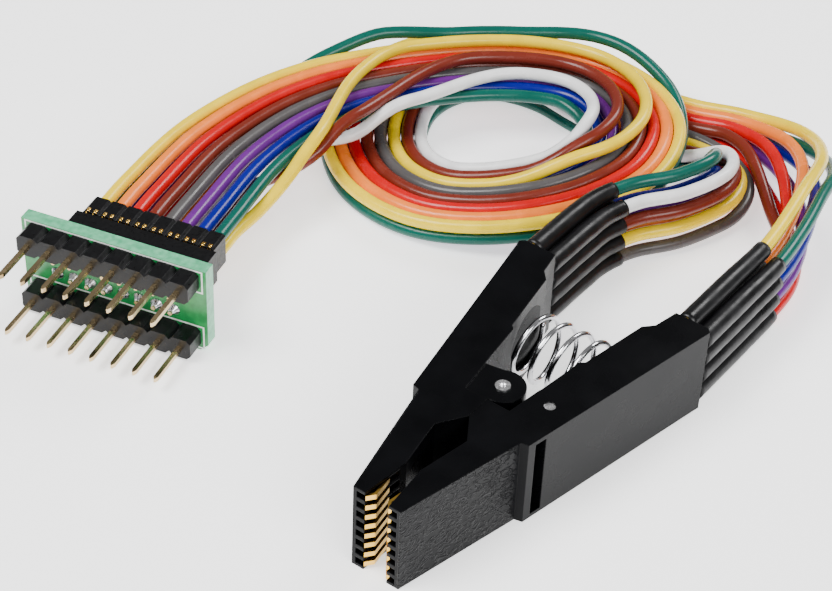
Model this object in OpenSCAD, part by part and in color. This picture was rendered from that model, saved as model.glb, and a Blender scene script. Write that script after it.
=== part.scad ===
// Sixteen-way test clip for a surface-mount chip, with its cable and pin adapter.
// The clip lies on its side on the table: Z up is its pivot axis, +X runs from the jaws to the handles.

/* [Clip] */
// Length of the clip, from jaw tips to handle ends
clip_length = 40.6; // [38:0.1:44]
// Thickness of the clip, along its pivot
clip_height = 10.4; // [10.4:0.1:12]
// Distance between neighbouring contacts
contact_pitch = 1.27; // [1.2:0.01:1.27]
// Gap between the plastic jaw tips when closed
jaw_gap = 2.8; // [2:0.1:4]
// Width over both handle ends
handle_span = 23.7; // [22:0.1:25]
// Diameter of the pivot pin
pivot_d = 1.6; // [1.2:0.1:2]
// Outer radius of the pivot knuckles
knuckle_r = 2.4; // [2.2:0.1:2.6]

/* [Spring] */
// Distance of the spring from the pivot
spring_x = 12.0; // [11:0.1:13]
// Outer diameter of the spring
spring_d = 7.6; // [6.6:0.1:7.8]
// Wire diameter of the spring
spring_wire = 0.6; // [0.4:0.05:0.7]
// Number of working turns
spring_turns = 5; // [3:1:6]

/* [Adapter board] */
// Length of the board
board_w = 22; // [21:0.1:24]
// Height of the board
board_h = 10.9; // [10.6:0.1:12]
// Thickness of the board
board_t = 1.6; // [1.0:0.1:1.6]
// Pin spacing of the two pin strips
pin_pitch = 2.54; // [2.54:0.01:2.54]
// Distance between the two pin strips
row_gap = 7.62; // [7.62:0.01:7.62]
// Free length of the long pins
pin_free = 5.6; // [5:0.1:7]

/* [Cable] */
// Outer diameter of a wire
wire_d = 1.5; // [1.3:0.05:1.5]
// Pin spacing of the cable connector
plug_pitch = 2.0; // [2.0:0.01:2.0]
// Depth of the cable socket behind the board
socket_depth = 5.6; // [5:0.1:6]
// Depth of the cable header block
plug_depth = 2.8; // [2.5:0.1:3.5]
// Outer diameter of a shrink sleeve
sleeve_d = 2.2; // [2.1:0.05:2.3]

/* [Hidden] */
// Every separate piece, by the name of its module

// ---- Clip arms: the back arm is drawn, the front arm is the same arm turned over ----
arm_x = clip_length / 2;
arm_y = handle_span / 2;
mid_z = clip_height / 2;
contacts = 8;
knuckle_gap = 0.1;
knuckle_h = (clip_height - 3 * knuckle_gap) / 4;
run_clear = 0.03;
stop_gap = 0.02;
dimple_d = 0.7;
dimple_h = 0.25;
dowel_d = 1.2;
dowel_depth = 2;
dowel_x = 0.43;
dowel_y = 5.34;

// Outline of one arm seen along the pivot, from the jaw tip round the outside
arm_outline = [[-arm_x, jaw_gap / 2], [-arm_x, jaw_gap / 2 + 1.4], [-5.7, 6.1], [-5.5, 6.95],
  [arm_x - 0.5, arm_y], [arm_x, arm_y - 0.45], [arm_x, 7.5], [17.3, 6.9], [16.2, 5.9],
  [8, 4.5], [7.6, 4.05], [1.7, 3.3], [2.1, 1], [0.3, 0.06], [0, stop_gap], [-5.7, stop_gap],
  [-8.7, 1.92], [-14.6, jaw_gap / 2 - 0.55]];
// Groove across the outside of the arm, where the grip meets the handle, closed at both ends
groove = [[-4.7, 8.5], [-4.4, 5.8], [-3.2, 6.05], [-3.1, 8.5]];
groove_web = 0.5;
// Room cut in the arm for the other arm's knuckles; the same shape is sunk into its top
notch_in = knuckle_r + 0.25;
notch = [[-notch_in, -3], [-notch_in, notch_in], [1.75, notch_in + 0.6], [3, notch_in + 0.6],
  [3, -3]];
notch_sink = 0.15;

// Slots that part the jaw tip into teeth
slot_w = 0.8;
slot_end = -15.5;
slot_outline = [[-arm_x - 0.1, 0.3], [-arm_x - 0.1, jaw_gap / 2 + 0.95], [slot_end, 3.43],
  [slot_end, 0.3]];

// Contact strips: thickness, width along the pivot, and their way through the arm
strip_t = 0.3;
strip_w = 0.6;
strip_clear = 0.03;
tail_len = 2.8;
column_y = [8.6, 10.6];
function strip_path(k) = [[-arm_x + 0.1, jaw_gap / 2 + 0.05], [-19.4, 0.83], [-17, 1.2],
  [-15.9, 1.8], [-14.6, 2.6], [-5.7, 4.2], [-3, 5.2], [0.4, 6.6],
  [arm_x - 1.8, column_y[k % 2]], [arm_x + tail_len, column_y[k % 2]]];
function contact_z(k) = mid_z + (k - (contacts - 1) / 2) * contact_pitch;

// ---- Spring between the handles ----
seat_d = spring_d + 0.24;
seat_y = 5.75;
spring_sides = 6;
spring_steps = 14;

// ---- Solder joints and shrink sleeves behind the arms ----
sleeve_pitch = 1.17;
sleeve_bore = 1.64;
sleeve_start = 0.3;
sleeve_sides = 10;
// Reach of the sleeves along the wires, in stations
back_sleeve_reach = 2.5;
front_sleeve_reach = 2;
joint_start = 1.6;
joint_end = 3.0;
joint_d = 1.2;
function sleeve_z(k) = mid_z + (k - (contacts - 1) / 2) * sleeve_pitch;

// ---- Adapter board, standing on its long edge ----
adapter_pos = [-8.5, 44.3];
adapter_turn = -76;
board_corner = 0.9;
pins_per_row = 8;
lower_row_z = 1.75;
upper_row_z = lower_row_z + row_gap;
pin_w = 0.52;
pin_hole_d = 1.0;
pin_tail = 1.0;
pin_tip = 0.4;
strip_depth = pin_pitch;
strip_notch = 0.45;
pin_solder_h = 0.8;
row_x0 = -pin_pitch * pins_per_row / 2;
socket_w = 17;
socket_h = 4;
socket_z = 3.6;
terminal_d = 0.5;
terminal_hole_d = 0.62;
terminal_in = 1.8;
terminal_out = 0.9;
solder_h = 0.7;
plug_gap = 0.3;
plug_w = 16;
plug_notch = 0.35;
plug_pin_in = 3.5;
plug_pin_grip = 2;
socket_back = board_t + socket_depth;
plug_front = socket_back + plug_gap;
plug_back = plug_front + plug_depth;
cable_z = socket_z + socket_h / 2;

// ---- Cable: sixteen wires in eight lanes and two layers, split four lanes to each arm ----
wire_sides = 8;
rings_per_station = 2;
lanes = 8;
arm_lanes = lanes / 2;
// The coil is laid out in its own directions: across the clip's line and away from it
coil_centre = [42, 32];
coil_turn = -55;
// Stations of the ribbon: across, away, height, roll, lane pitch, layer gap
coil_stations = [[-29.5, -11, 5.8, 0, 1.9, 1.9], [-24, -3.5, 6, 0, 1.75, 1.75],
  [-18, 2, 5.8, 0, 1.65, 1.65], [-12, 5.5, 5.4, 0, 1.6, 1.6], [-6, 7.8, 5.2, 0, 1.6, 1.6],
  [0, 9, 5.2, 0, 1.6, 1.6], [6, 9.1, 5.2, 0, 1.6, 1.6], [11.8, 7.5, 5.2, 0, 1.57, 1.6],
  [16, 3.3, 5.5, 0, 1.54, 1.6], [17.5, -2.4, 5.8, 0, 1.54, 1.6], [15.7, -8.1, 5.6, 0, 1.54, 1.6],
  [11.4, -11.9, 5, 0, 1.57, 1.6], [6, -13.6, 4, 0, 1.6, 1.6], [-0.4, -13.6, 2.8, 0, 1.6, 1.6],
  [-6, -12, 2, 0, 1.6, 1.6], [-10.5, -8, 1.6, 0, 1.6, 1.6], [-12.8, -2.6, 1.6, 0, 1.6, 1.6],
  [-12.8, 3.4, 1.6, 0, 1.6, 1.6], [-11, 9.2, 1.6, 0, 1.6, 1.6], [-7, 14, 1.6, 0, 1.6, 1.6],
  [-1.4, 16.6, 1.6, 0, 1.6, 1.6], [4.5, 16.2, 1.6, 0, 1.6, 1.6], [10, 13.6, 1.6, 0, 1.6, 1.6],
  [14.4, 9.6, 1.6, 0, 1.6, 1.6], [18.8, 5.8, 1.6, 0, 1.6, 1.6], [24, 3.2, 1.7, 0, 1.6, 1.6]];
// Stations of each half from the split to its arm: x, y, z, roll, lane pitch, layer gap
front_stations = [[62.4, 8.8, 2.4, 0, 1.75, 1.8], [60.6, 2.4, 3.4, 12, 2.4, 2.2],
  [55.6, -3, 4.5, 40, 2.6, 2.3], [48.8, -6.8, mid_z, 75, 2.45, 2.1],
  [42.4, -8.9, mid_z, 90, 2.34, 2], [36.5, -9.6, mid_z, 90, 2.34, 2],
  [30, -9.6, mid_z, 90, 2.34, 2], [arm_x + joint_end, -9.6, mid_z, 90, 2.34, 2]];
back_stations = [[54.9, 9, 2.3, -14, 1.65, 1.75], [52.4, 4.4, 3.8, -54, 1.9, 1.95],
  [47.2, 2.9, 5.2, -85, 2.3, 2], [41.6, 4.7, mid_z, -90, 2.34, 2],
  [37, 7.7, mid_z, -90, 2.34, 2], [32.4, 9.3, mid_z, -90, 2.34, 2],
  [28, 9.6, mid_z, -90, 2.34, 2], [arm_x + joint_end, 9.6, mid_z, -90, 2.34, 2]];
// Wires that leave their places to cross over the others: lane, layer, first and last station of
// the move, lanes towards the inside, levels up
moves = [[7, -1, 0.8, 2.2, 1.1, 0], [7, -1, 1.2, 2.9, 0, 2], [7, -1, 2.5, 5.7, -6.95, 0],
  [7, -1, 8.8, 13.6, 3.85, 0], [7, -1, 12.6, 14.8, 0, -1],
  [6, -1, 1.6, 2.9, 2.05, 0], [6, -1, 2.1, 3.7, 0, 2], [6, -1, 3.5, 6.9, -4.65, 0],
  [6, -1, 8.4, 13, 2.6, 0], [6, -1, 12, 14.2, 0, -1],
  [5, -1, 2.4, 3.9, 3.05, 0], [5, -1, 3.3, 5, 0, 2], [5, -1, 4.8, 7.8, -2.55, 0],
  [5, -1, 8.2, 12, 1.5, 0], [5, -1, 11.4, 13.6, 0, -1],
  [0, -1, 3, 4.4, -1.1, 0], [0, -1, 3.6, 5.4, 0, 2], [0, -1, 5.2, 6.6, 1.05, 0],
  [0, -1, 7.6, 8.9, -1.1, 0], [0, -1, 9, 10.8, 0, -2], [0, -1, 9.9, 11.4, 1.15, 0],
  [7, 1, 8.6, 11, 0, -1], [6, 1, 9, 11.4, 0, -1], [5, 1, 9.4, 11.8, 0, -1]];
stagger_from = 50;
stagger_over = 35;
exit_run = 5;

function adapter_pt(y) = [adapter_pos[0] - y * sin(adapter_turn),
  adapter_pos[1] + y * cos(adapter_turn), cable_z, 0, plug_pitch, plug_pitch];
function coil_pt(s) = [coil_centre[0] + s[0] * cos(coil_turn) - s[1] * sin(coil_turn),
  coil_centre[1] + s[0] * sin(coil_turn) + s[1] * cos(coil_turn), s[2], s[3], s[4], s[5]];
shared = concat([adapter_pt(plug_back), adapter_pt(plug_back + exit_run)],
  [for (s = coil_stations) coil_pt(s)]);
last = len(shared) - 1;
// Unit vector to the left of the way from a to b, in plan
function left_of(a, b) = [a[1] - b[1], b[0] - a[0]] / norm([a[1] - b[1], b[0] - a[0]]);
// Middle line of one half of the ribbon: side 1 is the outer half, side -1 the inner
function half_route(side) = concat(
  [for (i = [0 : last]) let (s = shared[i], l = left_of(shared[max(i - 1, 0)],
    shared[min(i + 1, last)]) * side * 2 * s[4])
    [s[0] + l[0], s[1] + l[1], s[2], s[3], s[4], s[5]]],
  side > 0 ? front_stations : back_stations);
outer_route = half_route(1);
inner_route = half_route(-1);
// Smooth curve through the stations of r, at station number t
function curve(a, b, c, d, f) = (2 * b + (c - a) * f + (2 * a - 5 * b + 4 * c - d) * f * f
  + (3 * b - a - 3 * c + d) * f * f * f) / 2;
function station(r, i) = i < 0 ? 2 * r[0] - r[1]
  : i > len(r) - 1 ? 2 * r[len(r) - 1] - r[len(r) - 2] : r[i];
function along(r, t) = let (i = min(floor(t), len(r) - 2))
  curve(station(r, i - 1), station(r, i), station(r, i + 1), station(r, i + 2), t - i);
function unit(v) = v / norm(v);
function xyz(q) = [q[0], q[1], q[2]];
function smooth(x) = let (c = min(max(x, 0), 1)) c * c * (3 - 2 * c);
// How far a wire has moved at station t: i is 4 for lanes, 5 for levels
function moved(t, lane, layer, i) = [for (m = moves) m[0] == lane && m[1] == layer
  ? m[i] * smooth((t - m[2]) / (m[3] - m[2])) : 0] * [for (m = moves) 1];
// Centre of one wire at station t: its lane and level, turned by the roll of the ribbon
function wire_pt(r, t, lane, layer) = let (q = along(r, t), e = 0.02,
  d = unit(xyz(along(r, min(t + e, len(r) - 1))) - xyz(along(r, max(t - e, 0)))),
  l = unit(cross([0, 0, 1], d)), n = cross(d, l),
  level = layer / 2 + moved(t, lane, layer, 5),
  shift = smooth((abs(q[3]) - stagger_from) / stagger_over) * level / 2,
  u = ((arm_lanes - 1) / 2 - lane % arm_lanes - moved(t, lane, layer, 4) + shift) * q[4],
  w = level * q[5])
  xyz(q) + (u * cos(q[3]) - w * sin(q[3])) * l + (u * sin(q[3]) + w * cos(q[3])) * n;

// Rings of points round p, at radius r, kept upright against the direction up
function rings(p, r, sides, up) = [for (i = [0 : len(p) - 1])
  let (d = unit(p[min(i + 1, len(p) - 1)] - p[max(i - 1, 0)]), l = unit(cross(up, d)), n = cross(d, l))
  for (k = [0 : sides - 1]) p[i] + r * (cos(360 * k / sides) * l + sin(360 * k / sides) * n)];
// Faces between two rings, whose first points are a and b
function band(a, b, sides) = [for (k = [0 : sides - 1]) let (j = (k + 1) % sides)
  for (f = [[a + k, b + k, b + j], [a + k, b + j, a + j]]) f];
// Faces of a wall of m + 1 rings, whose first point is a
function wall(a, m, sides) = [for (i = [0 : m - 1],
  f = band(a + i * sides, a + (i + 1) * sides, sides)) f];

// Rod round the points p
module tube(p, r, sides, up) {
  m = len(p) - 1;
  ends = [[for (k = [0 : sides - 1]) k], [for (k = [sides - 1 : -1 : 0]) m * sides + k]];
  polyhedron(points = rings(p, r, sides, up), faces = concat(wall(0, m, sides), ends),
    convexity = 10);
}

// Pipe round the points p, with radius r outside and bore inside
module pipe(p, r, bore, sides) {
  m = len(p) - 1;
  n = len(p) * sides;
  inner = [for (f = wall(n, m, sides)) [f[2], f[1], f[0]]];
  polyhedron(points = concat(rings(p, r, sides, [0, 0, 1]), rings(p, bore, sides, [0, 0, 1])),
    faces = concat(wall(0, m, sides), inner, band(n, 0, sides),
      band(m * sides, n + m * sides, sides)), convexity = 10);
}

function route(lane) = lane < arm_lanes ? outer_route : inner_route;
// Points of a wire, from station number t to its end at the clip
function way(t, lane, layer) = let (r = route(lane)) [for (j = [t * rings_per_station
  : (len(r) - 1) * rings_per_station]) wire_pt(r, j / rings_per_station, lane, layer)];
module wire(lane, layer) tube(way(0, lane, layer), wire_d / 2, wire_sides, [0, 0, 1]);

// Turns a piece of the back arm over, to its place on the front arm
module front_side() translate([0, 0, clip_height]) rotate([180, 0, 0]) children();

// Outline of a strip of thickness t along the points p
function left_corner(p, i, t) = let (m = len(p) - 1,
  a = left_of(p[max(i - 1, 0)], p[max(i, 1)]), b = left_of(p[min(i, m - 1)], p[min(i + 1, m)]),
  c = unit(a + b)) p[i] + c * t / 2 / (c * a);
function strip_outline(p, t) = concat([for (i = [0 : len(p) - 1]) left_corner(p, i, t)],
  [for (i = [len(p) - 1 : -1 : 0]) left_corner(p, i, -t)]);

module knuckle_block(from, r) translate([0, 0, from]) cylinder(r = r, h = knuckle_h, $fn = 64);

module arm(bore_d) {
  difference() {
    union() {
      difference() {
        linear_extrude(height = clip_height) polygon(arm_outline);
        translate([0, 0, -1]) linear_extrude(height = knuckle_h + knuckle_gap + 1) polygon(notch);
        translate([0, 0, 2 * knuckle_h + knuckle_gap])
          linear_extrude(height = knuckle_h + 2 * knuckle_gap) polygon(notch);
      }
      knuckle_block(knuckle_h + knuckle_gap, knuckle_r);
      knuckle_block(3 * knuckle_h + 3 * knuckle_gap, knuckle_r);
    }
    translate([0, 0, groove_web])
      linear_extrude(height = clip_height - 2 * groove_web) polygon(groove);
    translate([0, 0, clip_height - notch_sink]) linear_extrude(height = 1) polygon(notch);
    translate([0, 0, -1]) cylinder(d = bore_d, h = clip_height + 2, $fn = 48);
    translate([dowel_x, dowel_y, -1]) cylinder(d = dowel_d, h = dowel_depth + 1, $fn = 32);
    translate([spring_x, seat_y, mid_z]) rotate([90, 0, 0]) cylinder(d = seat_d, h = 2.5, $fn = 64);
    for (k = [0 : contacts - 1]) {
      translate([0, 0, contact_z(k) - slot_w / 2]) linear_extrude(height = slot_w)
        polygon(slot_outline);
      translate([0, 0, contact_z(k) - strip_w / 2 - strip_clear])
        linear_extrude(height = strip_w + 2 * strip_clear)
        polygon(strip_outline(strip_path(k), strip_t + 2 * strip_clear));
    }
  }
}

module contact_set() {
  for (k = [0 : contacts - 1])
    translate([0, 0, contact_z(k) - strip_w / 2]) linear_extrude(height = strip_w)
      polygon(strip_outline(strip_path(k), strip_t));
}

module sleeve_set(first, reach) {
  for (lane = [first : first + arm_lanes - 1], layer = [-1, 1]) {
    p = way(len(route(lane)) - 1 - reach, lane, layer);
    e = p[len(p) - 1];
    pipe(concat(p, [[arm_x + sleeve_start, e[1], e[2]]]), sleeve_d / 2, sleeve_bore / 2, sleeve_sides);
  }
}

module solder_set() {
  for (k = [0 : contacts - 1])
    difference() {
      translate([arm_x + joint_start, column_y[k % 2], sleeve_z(k)]) rotate([0, 90, 0])
        cylinder(d = joint_d, h = joint_end - joint_start, $fn = 20);
      translate([arm_x, column_y[k % 2] - strip_t / 2, contact_z(k) - strip_w / 2])
        cube([tail_len, strip_t, strip_w]);
    }
}

module dowel() translate([dowel_x, dowel_y, 0.1]) cylinder(d = dowel_d, h = dowel_depth - 0.1, $fn = 32);

module on_adapter() translate([adapter_pos[0], adapter_pos[1], 0]) rotate([0, 0, adapter_turn])
  children();

module pin_strip(z) {
  n = pins_per_row;
  h = strip_depth / 2;
  c = strip_notch;
  top = [for (i = [0 : n - 1], p = [[0, h - c], [c, h], [pin_pitch - c, h]])
    [row_x0 + i * pin_pitch + p[0], p[1]]];
  low = [for (i = [n - 1 : -1 : 0], p = [[pin_pitch, c - h], [pin_pitch - c, -h], [c, -h]])
    [row_x0 + i * pin_pitch + p[0], p[1]]];
  difference() {
    translate([0, 0, z]) rotate([90, 0, 0]) linear_extrude(height = strip_depth)
      polygon(concat(top, [[-row_x0, h - c]], low, [[row_x0, c - h]]));
    for (i = [0 : n - 1])
      translate([row_x0 + (i + 0.5) * pin_pitch - pin_w / 2, -strip_depth - 1, z - pin_w / 2])
        cube([pin_w, strip_depth + 2, pin_w]);
  }
}

module pin_row(z) {
  y0 = -strip_depth - pin_free;
  y1 = board_t + pin_tail;
  w = pin_w / 2;
  for (i = [0 : pins_per_row - 1])
    translate([row_x0 + (i + 0.5) * pin_pitch, 0, z - w]) linear_extrude(height = pin_w)
      polygon([[-w, y0 + pin_tip], [-w / 3, y0], [w / 3, y0], [w, y0 + pin_tip], [w, y1], [-w, y1]]);
}

module at_pins() for (i = [0 : pins_per_row - 1], z = [lower_row_z, upper_row_z])
  translate([row_x0 + (i + 0.5) * pin_pitch, 0, z]) children();
module at_terminals() for (i = [0 : lanes - 1], z = [-0.5, 0.5])
  translate([(i - (lanes - 1) / 2) * plug_pitch, 0, cable_z + z * plug_pitch]) children();
module rod(y, d, len, n) translate([0, y, 0]) rotate([-90, 0, 0]) cylinder(d = d, h = len, $fn = n);

module back_arm() color([0.06, 0.06, 0.08]) arm(pivot_d);
module front_arm() color([0.08, 0.08, 0.1]) front_side() arm(pivot_d + 2 * run_clear);
module back_contacts() color([0.85, 0.65, 0.25]) contact_set();
module front_contacts() color([0.85, 0.65, 0.25]) front_side() contact_set();
module back_dowel() color([0.7, 0.7, 0.72]) dowel();
module front_dowel() color([0.7, 0.7, 0.72]) front_side() dowel();
module back_sleeves() color([0.1, 0.1, 0.1]) sleeve_set(arm_lanes, back_sleeve_reach);
module front_sleeves() color([0.1, 0.1, 0.1]) sleeve_set(0, front_sleeve_reach);
module back_solder() color([0.75, 0.75, 0.78]) solder_set();
module front_solder() color([0.75, 0.75, 0.78]) front_side() solder_set();

module pivot_pin() color([0.72, 0.72, 0.75]) difference() {
  cylinder(d = pivot_d, h = clip_height, $fn = 48);
  translate([0, 0, clip_height - dimple_h]) cylinder(d = dimple_d, h = 1, $fn = 24);
}

module closing_spring() color([0.8, 0.8, 0.82]) {
  n = spring_turns * spring_steps;
  r = (spring_d - spring_wire) / 2;
  half = seat_y - spring_wire / 2 - stop_gap;
  tube([for (j = [0 : n]) [spring_x + r * cos(360 * j / spring_steps), half * (2 * j / n - 1),
    mid_z + r * sin(360 * j / spring_steps)]], spring_wire / 2, spring_sides, [0, 1, 0]);
}

module adapter_board() color([0.08, 0.55, 0.24]) on_adapter() difference() {
  rotate([90, 0, 0]) translate([0, 0, -board_t]) linear_extrude(height = board_t)
    polygon([[-board_w / 2 + board_corner, 0], [board_w / 2 - board_corner, 0],
      [board_w / 2, board_corner], [board_w / 2, board_h], [-board_w / 2, board_h],
      [-board_w / 2, board_corner]]);
  at_pins() rod(-1, pin_hole_d, board_t + 2, 24);
  at_terminals() rod(-1, terminal_hole_d, board_t + 2, 20);
}

module upper_pin_strip() color([0.1, 0.1, 0.1]) on_adapter() pin_strip(upper_row_z);
module lower_pin_strip() color([0.1, 0.1, 0.1]) on_adapter() pin_strip(lower_row_z);
module upper_pins() color([0.8, 0.7, 0.5]) on_adapter() pin_row(upper_row_z);
module lower_pins() color([0.8, 0.7, 0.5]) on_adapter() pin_row(lower_row_z);

module pin_solder() color([0.75, 0.75, 0.78]) on_adapter() at_pins() difference() {
  translate([0, board_t, 0]) rotate([-90, 0, 0])
    cylinder(d1 = 1.8, d2 = 1.1, h = pin_solder_h, $fn = 24);
  translate([-pin_w / 2, 0, -pin_w / 2]) cube([pin_w, board_t + 2, pin_w]);
}

module cable_socket() color([0.1, 0.1, 0.1]) on_adapter() difference() {
  translate([-socket_w / 2, board_t, socket_z]) cube([socket_w, socket_depth, socket_h]);
  at_terminals() rod(0, terminal_hole_d, socket_back + 2, 20);
}

module socket_terminals() color([0.8, 0.7, 0.5]) on_adapter() at_terminals()
  rod(-terminal_out, terminal_d, terminal_out + board_t + terminal_in, 20);

module socket_solder() color([0.75, 0.75, 0.78]) on_adapter() at_terminals() difference() {
  translate([0, -solder_h, 0]) rotate([-90, 0, 0]) cylinder(d1 = 0.7, d2 = 1.5, h = solder_h, $fn = 24);
  rod(-2, terminal_d, 3, 20);
}

module cable_header() color([0.1, 0.1, 0.1]) on_adapter() difference() {
  translate([-plug_w / 2, plug_front, socket_z]) cube([plug_w, plug_depth, socket_h]);
  at_terminals() rod(plug_front - 1, terminal_d, plug_pin_grip + 1, 20);
  for (i = [0 : lanes], z = [socket_z, socket_z + socket_h])
    translate([(i - lanes / 2) * plug_pitch, plug_front - 1, z]) rotate([0, 45, 0])
      translate([-plug_notch / 2, 0, -plug_notch / 2]) cube([plug_notch, plug_depth + 2, plug_notch]);
}

module header_pins() color([0.85, 0.68, 0.3]) on_adapter() at_terminals()
  rod(plug_front - plug_pin_in, terminal_d, plug_pin_in + plug_pin_grip, 20);

module wire_yellow_upper() color([1, 0.85, 0.05]) wire(0, 1);
module wire_orange_upper() color([0.98, 0.55, 0.3]) wire(1, 1);
module wire_red_upper() color([0.9, 0.08, 0.1]) wire(2, 1);
module wire_brown_upper() color([0.5, 0.2, 0.14]) wire(3, 1);
module wire_grey_upper() color([0.45, 0.44, 0.44]) wire(4, 1);
module wire_purple_upper() color([0.5, 0.26, 0.6]) wire(5, 1);
module wire_blue_upper() color([0.08, 0.12, 0.65]) wire(6, 1);
module wire_teal_upper() color([0, 0.45, 0.4]) wire(7, 1);
module wire_teal_lower() color([0, 0.45, 0.4]) wire(0, -1);
module wire_blue_lower() color([0.08, 0.12, 0.65]) wire(1, -1);
module wire_purple_lower() color([0.5, 0.26, 0.6]) wire(2, -1);
module wire_red_lower() color([0.9, 0.08, 0.1]) wire(3, -1);
module wire_orange_lower() color([0.98, 0.55, 0.3]) wire(4, -1);
module wire_white_lower() color([0.94, 0.94, 0.94]) wire(5, -1);
module wire_brown_lower() color([0.5, 0.2, 0.14]) wire(6, -1);
module wire_yellow_lower() color([1, 0.85, 0.05]) wire(7, -1);

back_arm();
front_arm();
back_contacts();
front_contacts();
pivot_pin();
back_dowel();
front_dowel();
closing_spring();
back_sleeves();
front_sleeves();
back_solder();
front_solder();
adapter_board();
upper_pin_strip();
lower_pin_strip();
upper_pins();
lower_pins();
pin_solder();
cable_socket();
socket_terminals();
socket_solder();
cable_header();
header_pins();
wire_yellow_upper();
wire_orange_upper();
wire_red_upper();
wire_brown_upper();
wire_grey_upper();
wire_purple_upper();
wire_blue_upper();
wire_teal_upper();
wire_teal_lower();
wire_blue_lower();
wire_purple_lower();
wire_red_lower();
wire_orange_lower();
wire_white_lower();
wire_brown_lower();
wire_yellow_lower();
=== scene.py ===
import math
import random

import bpy
import numpy as np
from mathutils import Matrix, Vector


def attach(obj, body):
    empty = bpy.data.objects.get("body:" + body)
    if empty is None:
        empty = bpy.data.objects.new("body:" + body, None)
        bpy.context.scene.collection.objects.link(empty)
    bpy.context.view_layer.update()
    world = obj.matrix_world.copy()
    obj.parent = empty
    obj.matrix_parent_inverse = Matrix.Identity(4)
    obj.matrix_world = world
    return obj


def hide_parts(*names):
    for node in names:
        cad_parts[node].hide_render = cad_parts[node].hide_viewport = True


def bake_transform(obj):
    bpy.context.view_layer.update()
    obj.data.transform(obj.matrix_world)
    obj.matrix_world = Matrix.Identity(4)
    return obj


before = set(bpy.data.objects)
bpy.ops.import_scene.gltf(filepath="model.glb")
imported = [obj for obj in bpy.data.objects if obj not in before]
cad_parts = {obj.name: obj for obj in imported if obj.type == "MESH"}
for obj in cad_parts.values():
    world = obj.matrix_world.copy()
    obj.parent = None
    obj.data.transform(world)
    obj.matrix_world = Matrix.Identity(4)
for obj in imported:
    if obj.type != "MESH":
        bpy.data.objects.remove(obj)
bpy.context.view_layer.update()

MM = 0.001
random.seed(7)

# ---------------------------------------------------------------- camera
# The photograph's view: direction, tilt, distance and the point at the picture's centre
AZIMUTH = math.radians(-54.643)
ELEVATION = math.radians(39.942)
ROLL = math.radians(2.502)
DISTANCE = 0.237335
TARGET = Vector((0.010818, 0.018647, 0.005))
# Sensor width and focal length, in millimetres
SENSOR = 36.0
LENS = 96.0014423

look = Vector((-math.sin(AZIMUTH) * math.cos(ELEVATION),
               math.cos(AZIMUTH) * math.cos(ELEVATION), -math.sin(ELEVATION)))
level = Vector((math.cos(AZIMUTH), math.sin(AZIMUTH), 0))
upright = level.cross(look)
cam_x = math.cos(ROLL) * level + math.sin(ROLL) * upright
cam_y = -math.sin(ROLL) * level + math.cos(ROLL) * upright
cam_data = bpy.data.cameras.new("camera")
cam_data.lens = LENS
cam_data.sensor_width = SENSOR
cam_data.sensor_fit = "HORIZONTAL"
cam_data.clip_start = 0.01
cam_data.clip_end = 20
cam = bpy.data.objects.new("camera", cam_data)
bpy.context.collection.objects.link(cam)
cam.matrix_world = Matrix.Translation(TARGET - DISTANCE * look) @ Matrix(
    (cam_x, cam_y, -look)).transposed().to_4x4()
bpy.context.scene.camera = cam


# ---------------------------------------------------------------- materials
# Noise values lie mostly between these two
NOISE_LOW, NOISE_HIGH = 0.3, 0.7
EDGE_SAMPLES = 4
SPECKLE_BUMP, SPECKLE_DETAIL = 0.5, 4


def principled(name, color, rough, metal=0.0, spec=0.5, coat=0.0, coat_rough=0.1):
    """A new material with its shader's plain values set."""
    mat = bpy.data.materials.new(name)
    mat.use_nodes = True
    tree = mat.node_tree
    shader = tree.nodes["Principled BSDF"]
    shader.inputs["Base Color"].default_value = (*color, 1)
    shader.inputs["Roughness"].default_value = rough
    shader.inputs["Metallic"].default_value = metal
    shader.inputs["Specular IOR Level"].default_value = spec
    shader.inputs["Coat Weight"].default_value = coat
    shader.inputs["Coat Roughness"].default_value = coat_rough
    return mat, tree, shader


def noise(tree, scale, detail, rough=0.5, stretch=(1, 1, 1)):
    """A noise texture over object space; scale is features per metre."""
    coord = tree.nodes.new("ShaderNodeTexCoord")
    spread = tree.nodes.new("ShaderNodeMapping")
    spread.inputs["Scale"].default_value = stretch
    tex = tree.nodes.new("ShaderNodeTexNoise")
    tex.inputs["Scale"].default_value = scale
    tex.inputs["Detail"].default_value = detail
    tex.inputs["Roughness"].default_value = rough
    tree.links.new(coord.outputs["Object"], spread.inputs["Vector"])
    tree.links.new(spread.outputs["Vector"], tex.inputs["Vector"])
    return tex


def ramp(tree, source, stops):
    """A colour ramp on source; stops are (position, colour)."""
    node = tree.nodes.new("ShaderNodeValToRGB")
    node.color_ramp.elements[0].position = stops[0][0]
    node.color_ramp.elements[0].color = (*stops[0][1], 1)
    node.color_ramp.elements[1].position = stops[-1][0]
    node.color_ramp.elements[1].color = (*stops[-1][1], 1)
    for position, color in stops[1:-1]:
        element = node.color_ramp.elements.new(position)
        element.color = (*color, 1)
    tree.links.new(source, node.inputs["Fac"])
    return node.outputs["Color"]


def map_range(tree, source, start, stop, low=0.0, high=1.0):
    """source, from start to stop, spread over low to high."""
    node = tree.nodes.new("ShaderNodeMapRange")
    node.inputs["From Min"].default_value = start
    node.inputs["From Max"].default_value = stop
    node.inputs["To Min"].default_value = low
    node.inputs["To Max"].default_value = high
    tree.links.new(source, node.inputs["Value"])
    return node.outputs["Result"]


def math_node(tree, operation, *values):
    """A maths node; each value is a number or an output to link."""
    node = tree.nodes.new("ShaderNodeMath")
    node.operation = operation
    for socket, value in zip(node.inputs, values):
        if isinstance(value, (int, float)):
            socket.default_value = value
        else:
            tree.links.new(value, socket)
    return node.outputs["Value"]


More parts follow.
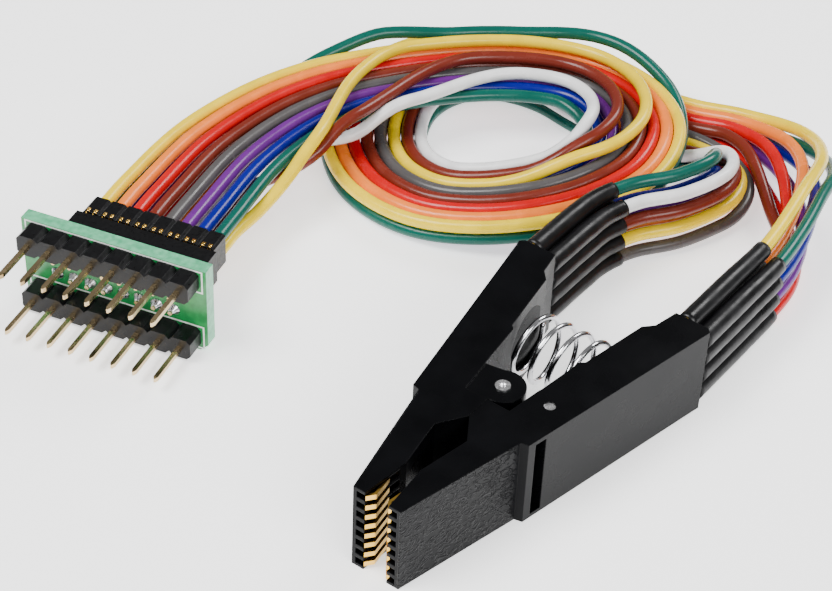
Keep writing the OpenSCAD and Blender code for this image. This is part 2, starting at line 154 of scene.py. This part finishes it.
def bump(tree, shader, source, strength, distance, edge=0.0):
    """Bump from source; edge rounds the look of hard edges by that many metres."""
    node = tree.nodes.new("ShaderNodeBump")
    node.inputs["Strength"].default_value = strength
    node.inputs["Distance"].default_value = distance
    tree.links.new(source, node.inputs["Height"])
    if edge:
        round_edge = tree.nodes.new("ShaderNodeBevel")
        round_edge.samples = EDGE_SAMPLES
        round_edge.inputs["Radius"].default_value = edge
        tree.links.new(round_edge.outputs["Normal"], node.inputs["Normal"])
    tree.links.new(node.outputs["Normal"], shader.inputs["Normal"])


def shade(color, k):
    """The colour k times as bright."""
    return tuple(c * k for c in color)


def speckled(name, color, rough, scale, depth, metal=0.0, vary=0.15, rough_vary=0.08,
             edge=0.0, **more):
    """Colour, roughness and bump that all vary a little with one noise."""
    mat, tree, shader = principled(name, color, rough, metal, **more)
    fac = noise(tree, scale, SPECKLE_DETAIL).outputs["Fac"]
    stops = [(NOISE_LOW, shade(color, 1 - vary)), (NOISE_HIGH, shade(color, 1 + vary))]
    tree.links.new(ramp(tree, fac, stops), shader.inputs["Base Color"])
    tree.links.new(map_range(tree, fac, NOISE_LOW, NOISE_HIGH, rough - rough_vary,
                             rough + rough_vary), shader.inputs["Roughness"])
    bump(tree, shader, fac, SPECKLE_BUMP, depth, edge)
    return mat


# The grip face of each jaw runs from its tip to the step where the handle begins, as (x, |y|) in
# millimetres. It is the plane |y| - GRIP_SLOPE * x = GRIP_FACE.
GRIP_TIP, GRIP_END = (-20.3, 2.8), (-5.7, 6.1)
GRIP_SLOPE = (GRIP_END[1] - GRIP_TIP[1]) / (GRIP_END[0] - GRIP_TIP[0])
GRIP_FACE = (GRIP_TIP[1] - GRIP_SLOPE * GRIP_TIP[0]) * MM
# The grain stops just short of that step: none at the first X, full at the second
GRAIN_START, GRAIN_FULL = -5.9 * MM, -6.4 * MM
# How far inside the grip face the grain begins, and where it is full
GRAIN_MARGIN = (0.15 * MM, 0.05 * MM)
# Height of the grain between its folds and on them, and how much fine grain is added everywhere
FOLD_LOW, FOLD_HIGH = (0.2, 0.2, 0.2), (1, 1, 1)
FINE_GRAIN = 0.12
PLASTIC_ROUGH = (0.24, 0.33)


def grip_plastic():
    """Black moulded plastic: satin, with a wrinkled leather grain on the jaws' outer grips."""
    base = (0.0014, 0.0015, 0.002)
    mat, tree, shader = principled("black_plastic", base, 0.27, spec=0.10)
    coord = tree.nodes.new("ShaderNodeTexCoord")
    split = tree.nodes.new("ShaderNodeSeparateXYZ")
    tree.links.new(coord.outputs["Object"], split.inputs["Vector"])
    on_jaw = map_range(tree, split.outputs["X"], GRAIN_START, GRAIN_FULL)
    outwards = math_node(tree, "ABSOLUTE", split.outputs["Y"])
    from_face = math_node(tree, "MULTIPLY_ADD", split.outputs["X"], -GRIP_SLOPE, outwards)
    outside = map_range(tree, from_face, GRIP_FACE - GRAIN_MARGIN[0], GRIP_FACE - GRAIN_MARGIN[1])
    mask = math_node(tree, "MULTIPLY", on_jaw, outside)
    wrinkle = noise(tree, 1000, 2, 0.55, (0.8, 1, 1.3))
    wrinkle.inputs["Distortion"].default_value = 0.8
    folds = ramp(tree, wrinkle.outputs["Fac"],
                 [(0.42, FOLD_LOW), (0.5, FOLD_HIGH), (0.58, FOLD_LOW)])
    grain = math_node(tree, "MULTIPLY", folds, mask)
    fine = noise(tree, 9000, 2).outputs["Fac"]
    height = math_node(tree, "MULTIPLY_ADD", fine, FINE_GRAIN, grain)
    bump(tree, shader, height, 0.8, 0.11 * MM, 0.12 * MM)
    blotch = noise(tree, 260, 3).outputs["Fac"]
    tree.links.new(map_range(tree, blotch, NOISE_LOW, NOISE_HIGH, *PLASTIC_ROUGH),
                   shader.inputs["Roughness"])
    stops = [(NOISE_LOW, shade(base, 0.8)), (NOISE_HIGH, shade(base, 1.3))]
    tree.links.new(ramp(tree, blotch, stops), shader.inputs["Base Color"])
    return mat


def board_green():
    """Green solder mask on the faces; the cut edges show pale laminate with fine layers."""
    face = (0.012, 0.23, 0.055)
    mat, tree, shader = principled("board", face, 0.3, spec=0.5, coat=0.3, coat_rough=0.2)
    geometry = tree.nodes.new("ShaderNodeNewGeometry")
    dot = tree.nodes.new("ShaderNodeVectorMath")
    dot.operation = "DOT_PRODUCT"
    dot.inputs[1].default_value = BOARD_Y
    tree.links.new(geometry.outputs["True Normal"], dot.inputs[0])
    on_face = math_node(tree, "ABSOLUTE", dot.outputs["Value"])
    fibre = noise(tree, 1400, 3).outputs["Fac"]
    flat = ramp(tree, fibre, [(0.35, shade(face, 0.85)), (0.65, shade(face, 1.2))])
    cut = ramp(tree, fibre, [(NOISE_LOW, (0.06, 0.34, 0.17)), (NOISE_HIGH, (0.15, 0.52, 0.29))])
    mix = tree.nodes.new("ShaderNodeMix")
    mix.data_type = "RGBA"
    tree.links.new(on_face, mix.inputs["Factor"])
    tree.links.new(cut, mix.inputs["A"])
    tree.links.new(flat, mix.inputs["B"])
    tree.links.new(mix.outputs["Result"], shader.inputs["Base Color"])
    bump(tree, shader, fibre, 0.3, 0.02 * MM, 0.05 * MM)
    return mat


# ---------------------------------------------------------------- adapter's place
# Middle of the lower edge of the board's front, in millimetres, and how the board is turned
ADAPTER = (-8.5, 44.3)
TURN = math.radians(-76)
# Directions along the board and out of its back
BOARD_X = Vector((math.cos(TURN), math.sin(TURN), 0))
BOARD_Y = Vector((-math.sin(TURN), math.cos(TURN), 0))


def on_adapter(x, y, z):
    """The place, in metres, of the point x along, y behind and z above ADAPTER in millimetres."""
    place = Vector((ADAPTER[0], ADAPTER[1], 0)) + x * BOARD_X + y * BOARD_Y + Vector((0, 0, z))
    return place * MM


# ---------------------------------------------------------------- cable
# The route is the CAD's, in millimetres and degrees
WIRE_D = 1.5
# Heights of the clip's middle and of the connector's
MID_Z = 5.2
CABLE_Z = 5.6
# Back of the connector, how far the wires run straight out of it, and their pitch in it
PLUG_BACK = 10.3
EXIT_RUN = 5
PLUG_PITCH = 2
# X where the wires end, in the solder joints behind the arms
WIRE_END = 23.3
# The coil is laid out in its own directions: across the clip's line and away from it
COIL_CENTRE = (42, 32)
COIL_TURN = math.radians(-55)
# Stations of the ribbon: across, away, height, roll, lane pitch, layer gap
COIL = [
    (-29.5, -11, 5.8, 0, 1.9, 1.9), (-24, -3.5, 6, 0, 1.75, 1.75), (-18, 2, 5.8, 0, 1.65, 1.65),
    (-12, 5.5, 5.4, 0, 1.6, 1.6), (-6, 7.8, 5.2, 0, 1.6, 1.6), (0, 9, 5.2, 0, 1.6, 1.6),
    (6, 9.1, 5.2, 0, 1.6, 1.6), (11.8, 7.5, 5.2, 0, 1.57, 1.6), (16, 3.3, 5.5, 0, 1.54, 1.6),
    (17.5, -2.4, 5.8, 0, 1.54, 1.6), (15.7, -8.1, 5.6, 0, 1.54, 1.6),
    (11.4, -11.9, 5, 0, 1.57, 1.6), (6, -13.6, 4, 0, 1.6, 1.6), (-0.4, -13.6, 2.8, 0, 1.6, 1.6),
    (-6, -12, 2, 0, 1.6, 1.6), (-10.5, -8, 1.6, 0, 1.6, 1.6), (-12.8, -2.6, 1.6, 0, 1.6, 1.6),
    (-12.8, 3.4, 1.6, 0, 1.6, 1.6), (-11, 9.2, 1.6, 0, 1.6, 1.6), (-7, 14, 1.6, 0, 1.6, 1.6),
    (-1.4, 16.6, 1.6, 0, 1.6, 1.6), (4.5, 16.2, 1.6, 0, 1.6, 1.6), (10, 13.6, 1.6, 0, 1.6, 1.6),
    (14.4, 9.6, 1.6, 0, 1.6, 1.6), (18.8, 5.8, 1.6, 0, 1.6, 1.6), (24, 3.2, 1.7, 0, 1.6, 1.6)]
# Stations of each half from the split to its arm: x, y, z, roll, lane pitch, layer gap
FRONT = [
    (62.4, 8.8, 2.4, 0, 1.75, 1.8), (60.6, 2.4, 3.4, 12, 2.4, 2.2), (55.6, -3, 4.5, 40, 2.6, 2.3),
    (48.8, -6.8, MID_Z, 75, 2.45, 2.1), (42.4, -8.9, MID_Z, 90, 2.34, 2),
    (36.5, -9.6, MID_Z, 90, 2.34, 2), (30, -9.6, MID_Z, 90, 2.34, 2),
    (WIRE_END, -9.6, MID_Z, 90, 2.34, 2)]
BACK = [
    (54.9, 9, 2.3, -14, 1.65, 1.75), (52.4, 4.4, 3.8, -54, 1.9, 1.95),
    (47.2, 2.9, 5.2, -85, 2.3, 2), (41.6, 4.7, MID_Z, -90, 2.34, 2),
    (37, 7.7, MID_Z, -90, 2.34, 2), (32.4, 9.3, MID_Z, -90, 2.34, 2),
    (28, 9.6, MID_Z, -90, 2.34, 2), (WIRE_END, 9.6, MID_Z, -90, 2.34, 2)]
# Wires that leave their places to cross over the others, by lane and layer. Each move says its
# first and last station, how many lanes inwards it goes and how many levels up.
MOVES = {
    (7, -1): [(0.8, 2.2, 1.1, 0), (1.2, 2.9, 0, 2), (2.5, 5.7, -6.95, 0), (8.8, 13.6, 3.85, 0),
              (12.6, 14.8, 0, -1)],
    (6, -1): [(1.6, 2.9, 2.05, 0), (2.1, 3.7, 0, 2), (3.5, 6.9, -4.65, 0), (8.4, 13, 2.6, 0),
              (12, 14.2, 0, -1)],
    (5, -1): [(2.4, 3.9, 3.05, 0), (3.3, 5, 0, 2), (4.8, 7.8, -2.55, 0), (8.2, 12, 1.5, 0),
              (11.4, 13.6, 0, -1)],
    (0, -1): [(3, 4.4, -1.1, 0), (3.6, 5.4, 0, 2), (5.2, 6.6, 1.05, 0), (7.6, 8.9, -1.1, 0),
              (9, 10.8, 0, -2), (9.9, 11.4, 1.15, 0)],
    (7, 1): [(8.6, 11, 0, -1)], (6, 1): [(9, 11.4, 0, -1)], (5, 1): [(9.4, 11.8, 0, -1)]}
# Roll from which the layers slide along each other, and how far it takes, in degrees
STAGGER_FROM = 50
STAGGER_OVER = 35
LANES_PER_HALF = 4
MIDDLE_LANE = (LANES_PER_HALF - 1) / 2
# The route's direction is taken over this many stations either side
SLOPE_STEP = 0.02
UP = np.array([0.0, 0.0, 1.0])


def unit(v):
    """The vector v at length 1."""
    return v / np.linalg.norm(v)


def adapter_station(y):
    """A station straight behind the adapter's header, y from the board's front."""
    p = on_adapter(0, y, CABLE_Z) / MM
    return (p.x, p.y, p.z, 0, PLUG_PITCH, PLUG_PITCH)


def coil_station(s):
    """A station of COIL, turned and moved to the coil's place."""
    c, n = math.cos(COIL_TURN), math.sin(COIL_TURN)
    return (COIL_CENTRE[0] + s[0] * c - s[1] * n, COIL_CENTRE[1] + s[0] * n + s[1] * c, *s[2:])


SHARED = np.array([adapter_station(PLUG_BACK), adapter_station(PLUG_BACK + EXIT_RUN)]
                  + [coil_station(s) for s in COIL])


def half_route(side, tail):
    """Middle line of one half of the ribbon: side 1 is the outer half, -1 the inner."""
    rows = []
    for i, s in enumerate(SHARED):
        a, b = SHARED[max(i - 1, 0)], SHARED[min(i + 1, len(SHARED) - 1)]
        left = unit(np.array([a[1] - b[1], b[0] - a[0]]))
        row = s.copy()
        row[:2] += left * side * LANES_PER_HALF / 2 * s[4]
        rows.append(row)
    return np.array(rows + [np.array(t, float) for t in tail])


def station(r, i):
    """Station i of the route r, carried on straight past its ends."""
    if i < 0:
        return 2 * r[0] - r[1]
    if i > len(r) - 1:
        return 2 * r[-1] - r[-2]
    return r[i]


def along(r, t):
    """Point of the route r at station number t, on a smooth curve through the stations."""
    i = min(int(t), len(r) - 2)
    f = t - i
    a, b, c, d = (station(r, i + k) for k in (-1, 0, 1, 2))
    return (2 * b + (c - a) * f + (2 * a - 5 * b + 4 * c - d) * f * f
            + (3 * b - a - 3 * c + d) * f ** 3) / 2


def smooth(x):
    """0 to 1, starting and ending gently."""
    x = min(max(x, 0), 1)
    return x * x * (3 - 2 * x)


def wire_point(r, t, lane, layer):
    """Centre of one wire at station t: its lane and layer, turned by the ribbon's roll."""
    q = along(r, t)
    ahead, behind = along(r, min(t + SLOPE_STEP, len(r) - 1)), along(r, max(t - SLOPE_STEP, 0))
    d = unit((ahead - behind)[:3])
    left = unit(np.cross(UP, d))
    above = np.cross(d, left)
    roll = math.radians(q[3])
    column, level = lane % LANES_PER_HALF, layer / 2
    for start, stop, across, up in MOVES.get((lane, layer), []):
        done = smooth((t - start) / (stop - start))
        column += across * done
        level += up * done
    shift = smooth((abs(q[3]) - STAGGER_FROM) / STAGGER_OVER) * level / 2
    u, w = (MIDDLE_LANE - column + shift) * q[4], level * q[5]
    return (q[:3] + (u * math.cos(roll) - w * math.sin(roll)) * left
            + (u * math.sin(roll) + w * math.cos(roll)) * above)


OUTER = half_route(1, FRONT)
INNER = half_route(-1, BACK)


def link_mesh(name, verts, faces, mat, body="root", smooth_faces=True, ride=True):
    """A new mesh object in the scene, riding on body unless ride is off."""
    mesh = bpy.data.meshes.new(name)
    mesh.from_pydata([tuple(v) for v in verts], [], faces)
    mesh.update()
    if smooth_faces:
        mesh.polygons.foreach_set("use_smooth", [True] * len(mesh.polygons))
    obj = bpy.data.objects.new(name, mesh)
    bpy.context.collection.objects.link(obj)
    mesh.materials.append(mat)
    if ride:
        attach(obj, body)
    return obj


def tube(points, radius, sides, up=UP):
    """Vertices and faces of a closed tube round the points; radius is one number or a list."""
    points = np.array(points, float)
    radius = np.broadcast_to(np.array(radius, float), (len(points),))
    verts, faces = [], []
    last = len(points) - 1
    for i, p in enumerate(points):
        d = unit(points[min(i + 1, last)] - points[max(i - 1, 0)])
        left = unit(np.cross(up, d))
        above = np.cross(d, left)
        for k in range(sides):
            a = 2 * math.pi * k / sides
            verts.append(p + radius[i] * (math.cos(a) * left + math.sin(a) * above))
    for i in range(last):
        for k in range(sides):
            a, b = i * sides + k, i * sides + (k + 1) % sides
            faces.append((a, b, b + sides, a + sides))
    faces.append(tuple(range(sides - 1, -1, -1)))
    faces.append(tuple(last * sides + k for k in range(sides)))
    return verts, faces


WIRE_COLORS = {
    "yellow": (0.86, 0.61, 0.0), "orange": (0.88, 0.20, 0.02), "red": (0.52, 0.0, 0.003),
    "brown": (0.15, 0.019, 0.010), "grey": (0.075, 0.07, 0.07), "white": (0.80, 0.80, 0.80),
    "purple": (0.115, 0.012, 0.19), "blue": (0.001, 0.003, 0.20), "teal": (0.0, 0.085, 0.062)}
WIRE_MATS = {c: speckled(f"wire_{c}", rgb, 0.26, 420, 0.02 * MM, vary=0.08, rough_vary=0.06,
                         spec=0.32)
             for c, rgb in WIRE_COLORS.items()}
UPPER = ["yellow", "orange", "red", "brown", "grey", "purple", "blue", "teal"]
LOWER = ["teal", "blue", "purple", "red", "orange", "white", "brown", "yellow"]
# Rings for each station, and sides, of a wire's tube
RINGS = 8
WIRE_SIDES = 14

for layer, row, colors in ((1, "upper", UPPER), (-1, "lower", LOWER)):
    for lane, color in enumerate(colors):
        route = OUTER if lane < LANES_PER_HALF else INNER
        count = (len(route) - 1) * RINGS
        path = np.array([wire_point(route, j / RINGS, lane, layer)
                         for j in range(count, -1, -1)]) * MM
        verts, faces = tube(path, WIRE_D / 2 * MM, WIRE_SIDES)
        cord = link_mesh(f"cord_{color}_{row}", verts, faces, WIRE_MATS[color], ride=False)
        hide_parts(f"wire_{color}_{row}")
        if lane < LANES_PER_HALF:
            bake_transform(cord)
        else:
            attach(cord, "root")

# ---------------------------------------------------------------- CAD nodes' materials
plastic = grip_plastic()
gold = speckled("gold", (0.88, 0.53, 0.10), 0.18, 900, 0.02 * MM, metal=1.0, vary=0.08)
gold_pin = speckled("gold_pin", (0.66, 0.50, 0.28), 0.24, 700, 0.015 * MM, metal=1.0, vary=0.12)
steel = speckled("steel", (0.84, 0.84, 0.85), 0.28, 1900, 0.12 * MM, metal=1.0, vary=0.12)
spring_steel = speckled("spring_steel", (0.72, 0.72, 0.74), 0.16, 800, 0.01 * MM, metal=1.0,
                        vary=0.1)
tin = speckled("tin", (0.66, 0.67, 0.70), 0.28, 1300, 0.08 * MM, metal=1.0, vary=0.15)
nylon = speckled("header_black", (0.003, 0.003, 0.0035), 0.34, 2600, 0.03 * MM, vary=0.25,
                 edge=0.06 * MM, spec=0.25)
sleeve_mat = speckled("sleeve", (0.004, 0.004, 0.0045), 0.36, 500, 0.12 * MM, vary=0.3,
                      rough_vary=0.1, spec=0.3)
silk = speckled("silkscreen", (0.85, 0.87, 0.84), 0.55, 2500, 0.01 * MM, vary=0.08)
green = board_green()

NODE_MATS = {
    "back_arm": plastic, "front_arm": plastic, "back_contacts": gold, "front_contacts": gold,
    "pivot_pin": steel, "back_dowel": steel, "front_dowel": steel, "closing_spring": spring_steel,
    "back_sleeves": sleeve_mat, "front_sleeves": sleeve_mat, "back_solder": tin,
    "front_solder": tin, "adapter_board": green, "upper_pin_strip": nylon,
    "lower_pin_strip": nylon, "upper_pins": gold_pin, "lower_pins": gold_pin, "pin_solder": tin,
    "cable_socket": nylon, "socket_terminals": gold_pin, "socket_solder": tin,
    "cable_header": nylon, "header_pins": gold}
for name, mat in NODE_MATS.items():
    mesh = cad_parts[name].data
    mesh.materials.clear()
    mesh.materials.append(mat)

# ---------------------------------------------------------------- closing spring
# Distance from the pivot, radius and wire, then the turns and half the length, in millimetres
SPRING_X, SPRING_R, SPRING_WIRE = 12.0, 3.5, 0.6
SPRING_TURNS, SPRING_HALF = 5, 5.43
STEPS_PER_TURN, SPRING_SIDES = 48, 12
steps = SPRING_TURNS * STEPS_PER_TURN
helix = []
for j in range(steps + 1):
    angle = 2 * math.pi * j * SPRING_TURNS / steps
    helix.append(Vector((SPRING_X + SPRING_R * math.cos(angle), SPRING_HALF * (2 * j / steps - 1),
                         MID_Z + SPRING_R * math.sin(angle))) * MM)
verts, faces = tube(helix, SPRING_WIRE / 2 * MM, SPRING_SIDES, np.array([0.0, 1.0, 0.0]))
coil = link_mesh("spring_coil", verts, faces, spring_steel, ride=False)
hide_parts("closing_spring")
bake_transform(coil)

# ---------------------------------------------------------------- shrink sleeves
SLEEVE_D, SLEEVE_BORE, SLEEVE_START = 2.2, 1.64, 20.6
SLEEVE_SIDES, SLEEVE_RINGS = 20, 12
# X of the rings over the solder joint, from the wire's end to the arm
JOINT_RINGS = (22.6, 21.9, 21.2, SLEEVE_START)
# Share of the full radius at the cable end and how fast it grows, its unevenness in millimetres,
# and how far the lip is pinched
SLEEVE_THIN, SLEEVE_GROWTH, SLEEVE_UNEVEN, SLEEVE_LIP = 0.90, 1.8, 0.012, 0.985
# Reach of the sleeves along the wires, in stations
BACK_REACH, FRONT_REACH = 2.5, 2


def pipe(points, radii, bore, sides):
    """Vertices and faces of a pipe round the points, open at both ends."""
    outer, faces = tube(points, radii, sides)
    inner, inner_faces = tube(points, bore, sides)
    n, last = len(outer), (len(points) - 1) * sides
    faces = faces[:-2] + [tuple(n + i for i in reversed(f)) for f in inner_faces[:-2]]
    for k in range(sides):
        j = (k + 1) % sides
        faces.append((n + k, n + j, j, k))
        faces.append((last + k, last + j, n + last + j, n + last + k))
    return outer + inner, faces


def sleeves(name, node, body, lanes, reach):
    """The arm's eight sleeves: each swells over its solder joint and clings to its wire."""
    verts, faces = [], []
    for lane in lanes:
        for layer in (-1, 1):
            route = OUTER if lane < LANES_PER_HALF else INNER
            end = len(route) - 1
            way = [wire_point(route, end - reach + j / SLEEVE_RINGS, lane, layer)
                   for j in range(int(reach * SLEEVE_RINGS) + 1)]
            tip = way[-1]
            way += [np.array([x, tip[1], tip[2]]) for x in JOINT_RINGS]
            swell = [SLEEVE_D / 2 * (SLEEVE_THIN
                                     + (1 - SLEEVE_THIN) * smooth(j / len(way) * SLEEVE_GROWTH))
                     + random.uniform(-SLEEVE_UNEVEN, SLEEVE_UNEVEN) for j in range(len(way))]
            swell[0] *= SLEEVE_LIP
            v, f = pipe(np.array(way) * MM, np.minimum(swell, SLEEVE_D / 2) * MM,
                        SLEEVE_BORE / 2 * MM, SLEEVE_SIDES)
            faces += [tuple(len(verts) + i for i in face) for face in f]
            verts += v
    obj = link_mesh(name, verts, faces, sleeve_mat, body)
    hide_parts(node)


sleeves("back_sleeve_set", "back_sleeves", "root",
        range(LANES_PER_HALF, 2 * LANES_PER_HALF), BACK_REACH)
sleeves("front_sleeve_set", "front_sleeves", "front_arm", range(LANES_PER_HALF), FRONT_REACH)

# ---------------------------------------------------------------- solder joints on the board
BOARD_T, SOCKET_Z, SOCKET_H, PIN_PITCH = 1.6, 3.6, 4, 2.54
PIN_ROWS = (1.75, 9.37)
WAYS = 8
SOLDER_SIDES = 20
# How oval and how lobed a joint is, and the most that its phase may be
OVAL, LOBED, PHASE_MAX = 0.06, 0.04, 6.28


def lathed(profile, place, sides, phase):
    """Vertices and faces of a slightly uneven turned shape along the adapter's Y at place."""
    verts, faces = [], []
    x, z = place
    for r, y in profile:
        for k in range(sides):
            a = 2 * math.pi * k / sides
            w = r * (1 + OVAL * math.sin(2 * a + phase) + LOBED * math.sin(3 * a - 2 * phase))
            verts.append(on_adapter(x + w * math.cos(a), y, z + w * math.sin(a)))
    for i in range(len(profile) - 1):
        for k in range(sides):
            j = (k + 1) % sides
            faces.append((i * sides + k, i * sides + j, (i + 1) * sides + j, (i + 1) * sides + k))
    faces.append(tuple(range(sides - 1, -1, -1)))
    faces.append(tuple((len(profile) - 1) * sides + k for k in range(sides)))
    return verts, faces


def column_x(i, pitch):
    """Place of column i of WAYS, along the board."""
    return (i - (WAYS - 1) / 2) * pitch


def solder(name, node, profile, places):
    """Solder joints of one profile, (radius, depth) from the first to the last, at the places."""
    verts, faces = [], []
    for place in places:
        v, f = lathed(profile, place, SOLDER_SIDES, random.uniform(0, PHASE_MAX))
        faces += [tuple(len(verts) + i for i in face) for face in f]
        verts += v
    obj = link_mesh(name, verts, faces, tin)
    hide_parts(node)


TERMINALS = [(column_x(i, PLUG_PITCH), CABLE_Z + z * PLUG_PITCH)
             for i in range(WAYS) for z in (-0.5, 0.5)]
PINS = [(column_x(i, PIN_PITCH), z) for i in range(WAYS) for z in PIN_ROWS]
CONE = [(0.75, 0), (0.68, -0.1), (0.52, -0.28), (0.42, -0.48), (0.36, -0.62), (0.28, -0.7)]
CAP = [(0.55, BOARD_T + 0.8), (0.62, BOARD_T + 0.72), (0.66, BOARD_T + 0.5),
       (0.78, BOARD_T + 0.2), (0.9, BOARD_T)]
solder("terminal_solder", "socket_solder", CONE, TERMINALS)
solder("pin_solder_joints", "pin_solder", CAP, PINS)

# ---------------------------------------------------------------- contacts in the header's top
verts, faces = [], []
TOP = SOCKET_Z + SOCKET_H
# Side view of one folded tab: depth behind the board's front, and height
TAB = ((7.44, TOP - 0.8), (7.5, TOP - 0.1), (7.7, TOP + 0.07), (8.15, TOP + 0.05), (8.3, TOP - 0.3))
# Half its width, how far the two tabs of a column stand off its middle, and their thickness
TAB_HALF, TAB_OFFSET, TAB_T = 0.19, 0.42, 0.08
for i in range(WAYS):
    for dx in (-TAB_OFFSET, TAB_OFFSET):
        x = column_x(i, PLUG_PITCH) + dx
        n = len(verts)
        for y, z in TAB:
            verts += [on_adapter(x - TAB_HALF, y, z), on_adapter(x + TAB_HALF, y, z)]
        faces += [(n + 2 * j, n + 2 * j + 1, n + 2 * j + 3, n + 2 * j + 2)
                  for j in range(len(TAB) - 1)]
tabs = link_mesh("header_contacts", verts, faces, gold)
solid = tabs.modifiers.new("thick", "SOLIDIFY")
solid.thickness = TAB_T * MM
solid.offset = -1

# ---------------------------------------------------------------- silkscreen on the board
SILK_W, SILK_T, SILK_HALF = 0.18, 0.03, 10.6
# Bottom and top of the outline round each row of pins
SILK_UPPER, SILK_LOWER = (7.86, 10.8), (0.22, 3.3)
BOX_FACES = ((0, 1, 2, 3), (7, 6, 5, 4), (0, 4, 5, 1), (1, 5, 6, 2), (2, 6, 7, 3), (3, 7, 4, 0))


def silk_frame(name, half, z0, z1):
    """A thin printed outline on the front of the board, half each side, from z0 to z1."""
    bars = [(-half, z0, half, z0 + SILK_W), (-half, z1 - SILK_W, half, z1),
            (-half, z0 + SILK_W, -half + SILK_W, z1 - SILK_W),
            (half - SILK_W, z0 + SILK_W, half, z1 - SILK_W)]
    verts, faces = [], []
    for x0, a, x1, b in bars:
        n = len(verts)
        for y in (-SILK_T, 0):
            verts += [on_adapter(x, y, z) for x, z in ((x0, a), (x1, a), (x1, b), (x0, b))]
        faces += [tuple(n + i for i in f) for f in BOX_FACES]
    obj = link_mesh(name, verts, faces, silk, smooth_faces=False)


silk_frame("silkscreen_upper", SILK_HALF, *SILK_UPPER)
silk_frame("silkscreen_lower", SILK_HALF, *SILK_LOWER)

# ---------------------------------------------------------------- floor, light
FLOOR_SIZE, FLOOR_GLOW, WORLD_LIGHT = 3, 1.1, 0.25
bpy.ops.mesh.primitive_plane_add(size=FLOOR_SIZE, location=(0, 0, 0))
floor = bpy.context.object
floor.name = "floor"
floor_mat, _, floor_shader = principled("floor", (0.93, 0.93, 0.935), 0.6, spec=0.2)
floor_shader.inputs["Emission Color"].default_value = (1, 1, 1, 1)
floor_shader.inputs["Emission Strength"].default_value = FLOOR_GLOW
floor.data.materials.append(floor_mat)

world = bpy.context.scene.world or bpy.data.worlds.new("studio")
bpy.context.scene.world = world
world.use_nodes = True
background = world.node_tree.nodes["Background"]
background.inputs["Color"].default_value = (1, 1, 1, 1)
background.inputs["Strength"].default_value = WORLD_LIGHT

CENTRE = Vector((0.02, 0.02, 0))


def area_light(name, place, size, power):
    """A soft rectangular light at place, aimed at CENTRE."""
    data = bpy.data.lights.new(name, "AREA")
    data.shape = "RECTANGLE"
    data.size, data.size_y = size
    data.energy = power
    obj = bpy.data.objects.new(name, data)
    bpy.context.collection.objects.link(obj)
    obj.location = place
    obj.rotation_euler = (CENTRE - Vector(place)).to_track_quat("-Z", "Y").to_euler()


area_light("key", (-0.30, 0.25, 0.60), (0.35, 0.35), 7.0)
area_light("fill", (-0.15, -0.45, 0.35), (0.4, 0.25), 3.2)
area_light("rim", (0.55, -0.05, 0.45), (0.25, 0.25), 2.6)
